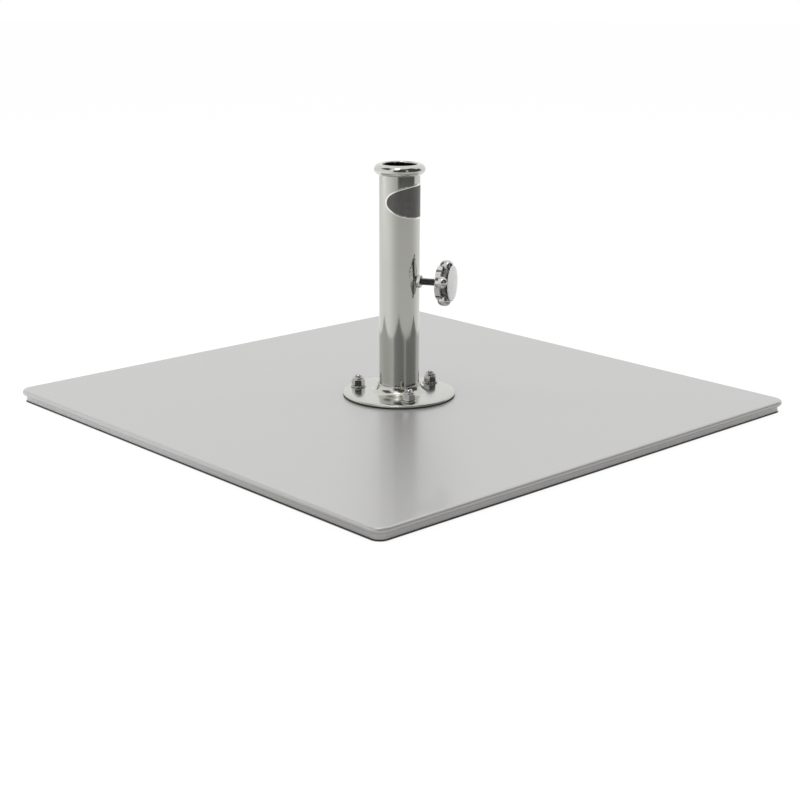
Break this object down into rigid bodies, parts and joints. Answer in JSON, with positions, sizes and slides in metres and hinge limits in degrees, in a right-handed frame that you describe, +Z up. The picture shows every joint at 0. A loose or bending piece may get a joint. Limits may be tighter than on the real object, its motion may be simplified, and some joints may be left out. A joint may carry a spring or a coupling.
{
  "type": "parasol base",
  "caption": "Square two-layer steel plate base with a polished stem on a bolted flange, a rolled rim and a side thumbscrew that clamps a parasol mast.",
  "frame": {"origin": "middle of the plate's footprint, on the ground under the foot pads", "axes": "+Z up along the stem, +X and +Y parallel to the plate's sides; the thumbscrew points 30 degrees from +X towards +Y"},
  "size_m": [0.6096, 0.6096, 0.2714],
  "materials": {
    "plate_coating": "satin silver-grey powder coat",
    "polished_stainless": "polished",
    "stainless_fixings": "satin",
    "weld_steel": "dressed weld bead",
    "zinc_steel": "zinc plated",
    "knob_chrome": "polished chrome",
    "cap_plastic": "satin",
    "badge_enamel": "gloss enamel",
    "nylon": "moulded",
    "brass": "turned",
    "rubber": "matt"
  },
  "bodies": {
    "base": {"cover_plate": "plate_coating", "ballast_plate": "plate_coating", "foot_pad_1": "rubber", "foot_pad_2": "rubber", "foot_pad_3": "rubber", "foot_pad_4": "rubber", "corner_screw_1": "zinc_steel", "corner_screw_2": "zinc_steel", "corner_screw_3": "zinc_steel", "corner_screw_4": "zinc_steel", "flange_gasket": "rubber", "stem_flange": "polished_stainless", "stem_weld": "weld_steel", "stem_tube": "polished_stainless", "stem_rim": "polished_stainless", "badge_plate": "badge_enamel", "flange_screw_1": "stainless_fixings", "flange_washer_1": "stainless_fixings", "flange_nut_1": "stainless_fixings", "nut_insert_1": "nylon", "flange_screw_2": "stainless_fixings", "flange_washer_2": "stainless_fixings", "flange_nut_2": "stainless_fixings", "nut_insert_2": "nylon", "flange_screw_3": "stainless_fixings", "flange_washer_3": "stainless_fixings", "flange_nut_3": "stainless_fixings", "nut_insert_3": "nylon", "clamp_nut": "polished_stainless"},
    "tip": {"clamp_tip": "brass"},
    "thumbscrew": {"clamp_screw": "stainless_fixings", "clamp_knob": "knob_chrome", "knob_cap": "cap_plastic"}
  },
  "joints": [
    {"name": "screw_travel", "type": "slide", "parent": "base", "child": "tip", "axis": [-0.866, -0.5, 0], "range_m": [0, 0.016]},
    {"name": "screw_turn", "type": "hinge", "parent": "tip", "child": "thumbscrew", "pos_m": [0.0433, 0.025, 0.1437], "axis": [-0.866, -0.5, 0], "range_deg": [0, 4608]}
  ],
  "couplings": [
    {"joint": "screw_travel", "follows": "screw_turn", "m_per_rad": 0.00019894}
  ]
}
